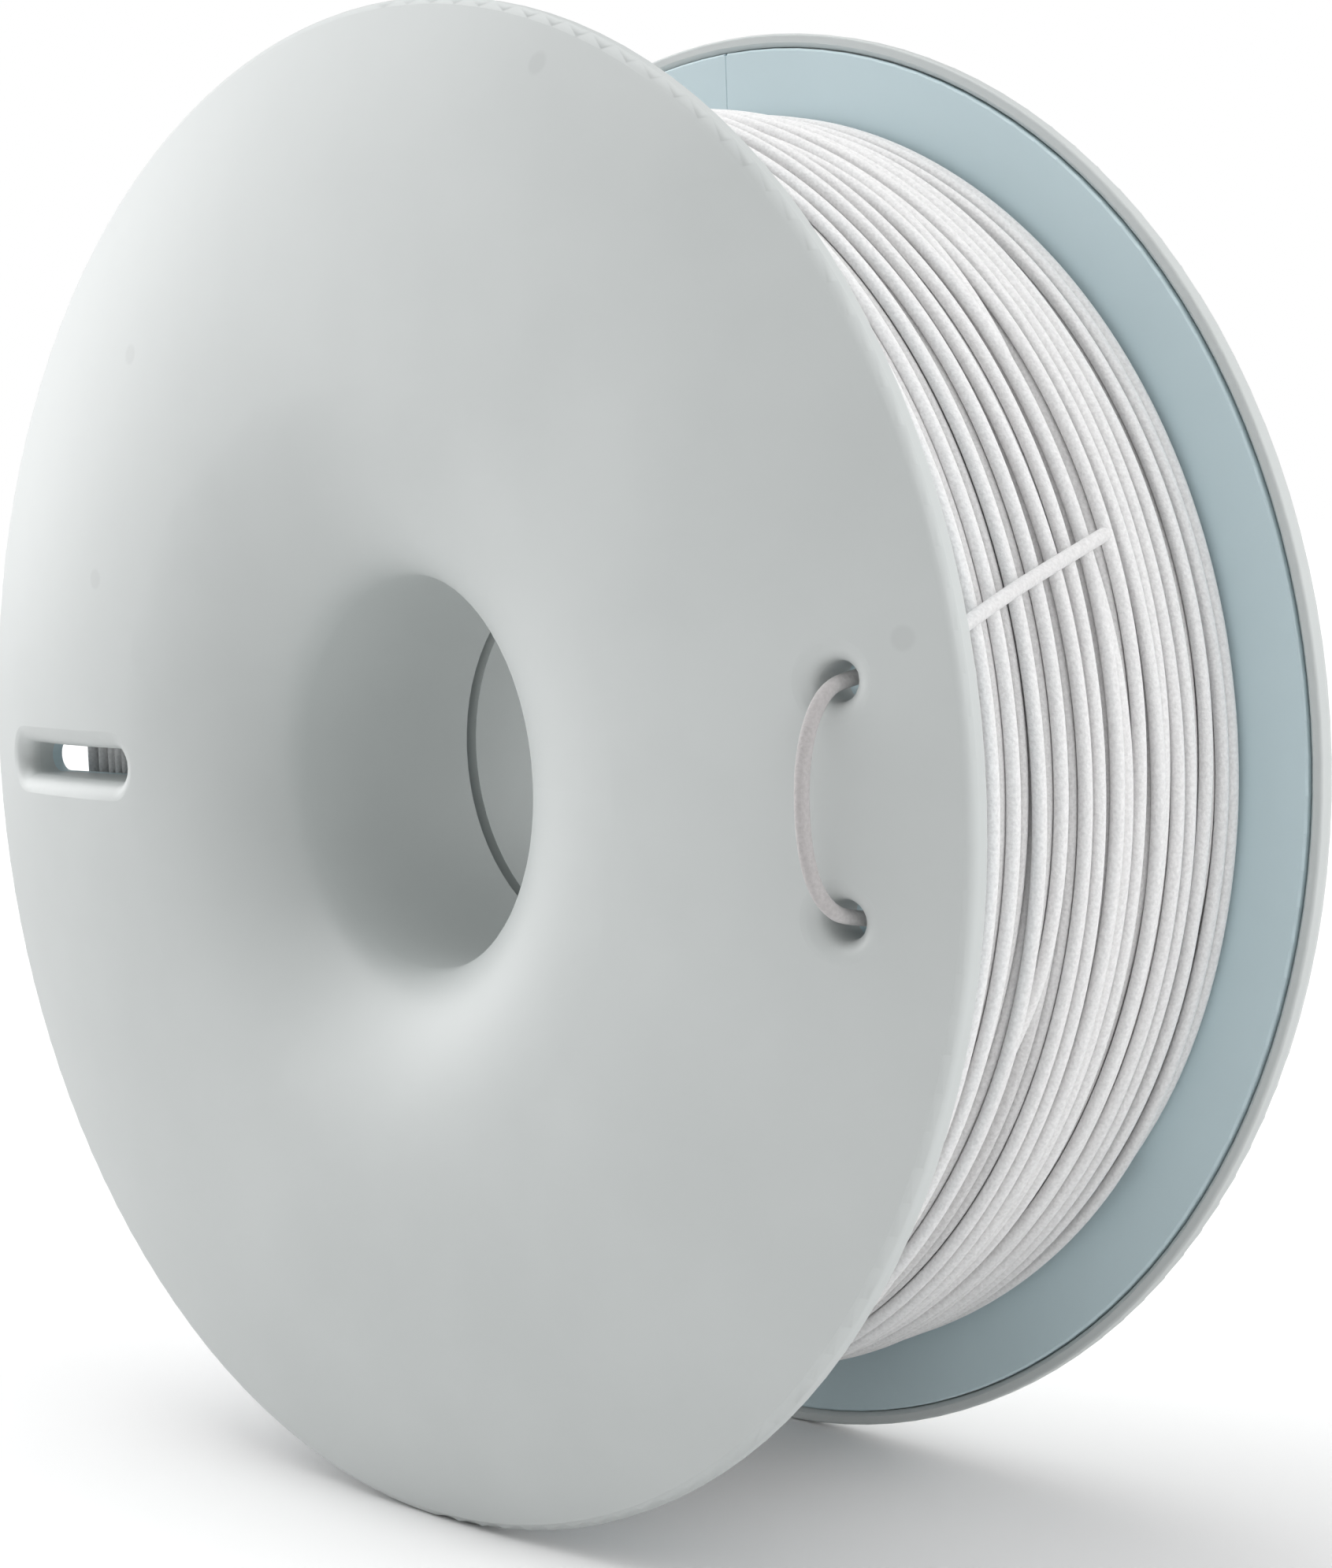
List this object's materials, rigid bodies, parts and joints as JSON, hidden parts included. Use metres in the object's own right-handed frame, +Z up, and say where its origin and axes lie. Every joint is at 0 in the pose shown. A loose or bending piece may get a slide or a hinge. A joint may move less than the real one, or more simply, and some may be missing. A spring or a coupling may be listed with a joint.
{
  "type": "filament spool",
  "caption": "Domed plastic spool on a wide central bore, full of wound 3-D printing filament, its loose end threaded through the flange.",
  "frame": {"origin": "centre of the bore, half way between the two flanges", "axes": "+Y along the bore from the front flange to the rear one, +Z up, with the radial slot at -X and the two threading holes either side of +X"},
  "size_m": [0.195, 0.0834, 0.195],
  "materials": {
    "shell_plastic": "satin, pale grey-green",
    "disc_plastic": "satin, pale blue-grey",
    "core_plastic": "satin, pale blue-grey",
    "filament": "matte, slightly fibrous, white"
  },
  "bodies": {
    "root": {"front_shell": "shell_plastic", "rear_shell": "shell_plastic", "front_disc": "disc_plastic", "rear_disc": "disc_plastic", "winding_core": "core_plastic", "filament_winding": "filament", "filament_tail": "filament"}
  },
  "joints": []
}
